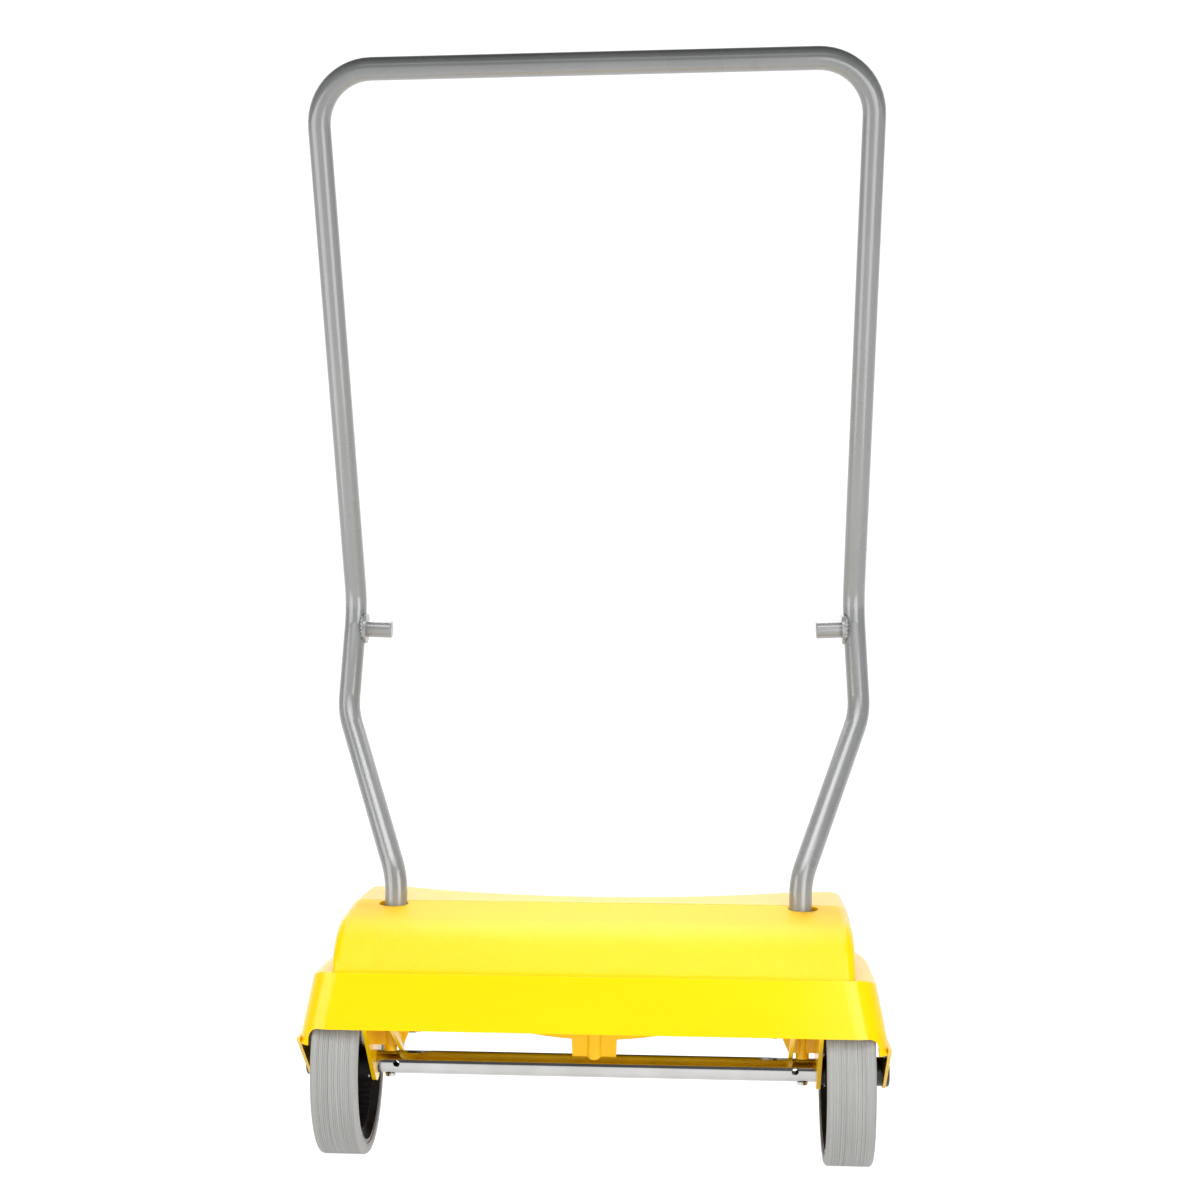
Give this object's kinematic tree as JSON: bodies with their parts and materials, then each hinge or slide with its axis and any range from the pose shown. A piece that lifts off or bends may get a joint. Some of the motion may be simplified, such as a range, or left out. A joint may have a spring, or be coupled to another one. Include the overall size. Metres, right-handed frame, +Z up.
{
  "type": "carpet sweeper",
  "caption": "Push carpet sweeper with a tall U handle, moulded housing on a wheeled axle, wheel-driven roller brush on a lifting head, dust pan and front rollers.",
  "frame": {"origin": "centre of the footprint's bounding box, on the floor", "axes": "+Z up along the handle, +Y the direction of travel away from the operator, +X across the machine to the operator's right"},
  "size_m": [0.556, 0.3096, 1.048],
  "materials": {
    "yellow_moulding": "glossy moulded, fine matt grain on the top panel",
    "painted_tube": "light grey powder coat, semi-gloss",
    "weld": "painted-over weld bead",
    "plated_axle": "bright zinc plate",
    "zinc_fastener": "zinc-plated",
    "tyre_rubber": "light grey rubber, finely grooved",
    "black_plastic": "black, satin",
    "bearing_plastic": "natural acetal",
    "arm_steel": "dark grey e-coat",
    "spring_steel": "oiled spring steel",
    "belt_rubber": "black rubber",
    "bristle": "dense black bristle"
  },
  "bodies": {
    "chassis": {"housing_shell": "yellow_moulding", "front_hood": "yellow_moulding", "hood_screws": "zinc_fastener", "axle_tube": "plated_axle", "axle_screws": "zinc_fastener", "axle_cap_left": "black_plastic", "axle_cap_right": "black_plastic", "wheel_spacers": "black_plastic", "handle_tube": "painted_tube", "handle_screws": "zinc_fastener", "hanging_peg_left": "painted_tube", "hanging_peg_right": "painted_tube", "peg_flange_left": "painted_tube", "peg_flange_right": "painted_tube", "peg_weld_left": "weld", "peg_weld_right": "weld", "bracket_bolts": "zinc_fastener", "roller_bracket_left": "arm_steel", "roller_bracket_right": "arm_steel", "roller_pin_left": "zinc_fastener", "roller_pin_right": "zinc_fastener", "pivot_bearing_left": "bearing_plastic", "pivot_bearing_right": "bearing_plastic", "pivot_bolt": "zinc_fastener", "pivot_nut": "zinc_fastener", "friction_washers": "spring_steel", "pivot_spacer": "zinc_fastener"},
    "wheel_left": {"tyre_left": "tyre_rubber", "wheel_rim_left": "black_plastic", "hub_bush_left": "bearing_plastic"},
    "wheel_right": {"tyre_right": "tyre_rubber", "wheel_rim_right": "black_plastic", "hub_bush_right": "bearing_plastic"},
    "drive_shaft": {"drive_shaft": "spring_steel", "drive_pinion": "bearing_plastic", "drive_pulley": "black_plastic", "shaft_clip": "spring_steel"},
    "brush_head": {"swing_arm_left": "arm_steel", "swing_arm_right": "arm_steel", "arm_bushes": "bearing_plastic", "brush_bearings": "bearing_plastic", "head_screws": "zinc_fastener", "head_cover": "black_plastic", "dust_pan": "black_plastic", "flap_pin": "spring_steel", "drive_belt": "belt_rubber"},
    "pan_flap": {"pan_flap": "black_plastic"},
    "brush": {"brush_shaft": "spring_steel", "brush_core": "black_plastic", "bristle_rows": "bristle", "brush_pulley": "black_plastic"},
    "roller_left": {"roller_core_left": "black_plastic", "roller_tread_left": "tyre_rubber"},
    "roller_right": {"roller_core_right": "black_plastic", "roller_tread_right": "tyre_rubber"}
  },
  "joints": [
    {"name": "wheel_left_spin", "type": "hinge", "parent": "chassis", "child": "wheel_left", "pos_m": [-0.23825, -0.06725, 0.0875], "axis": [1, 0, 0], "continuous": true},
    {"name": "wheel_right_spin", "type": "hinge", "parent": "chassis", "child": "wheel_right", "pos_m": [0.23825, -0.06725, 0.0875], "axis": [1, 0, 0], "continuous": true},
    {"name": "drive_spin", "type": "hinge", "parent": "chassis", "child": "drive_shaft", "pos_m": [-0.172, -0.04825, 0.12496], "axis": [1, 0, 0], "continuous": true},
    {"name": "head_lift", "type": "hinge", "parent": "chassis", "child": "brush_head", "pos_m": [0, -0.04825, 0.12496], "axis": [1, 0, 0], "range_deg": [-58.2, 0]},
    {"name": "brush_spin", "type": "hinge", "parent": "brush_head", "child": "brush", "pos_m": [0, 0.06313, 0.13673], "axis": [1, 0, 0], "continuous": true},
    {"name": "pan_flap_swing", "type": "hinge", "parent": "brush_head", "child": "pan_flap", "pos_m": [0, 0.1343, 0.19744], "axis": [1, 0, 0], "range_deg": [0, 40]},
    {"name": "roller_left_spin", "type": "hinge", "parent": "chassis", "child": "roller_left", "pos_m": [-0.245, 0.07575, 0.03], "axis": [1, 0, 0], "continuous": true},
    {"name": "roller_right_spin", "type": "hinge", "parent": "chassis", "child": "roller_right", "pos_m": [0.245, 0.07575, 0.03], "axis": [1, 0, 0], "continuous": true}
  ],
  "couplings": [
    {"joint": "drive_spin", "follows": "wheel_left_spin", "ratio": 2.75},
    {"joint": "brush_spin", "follows": "wheel_left_spin", "ratio": 3.6094}
  ]
}
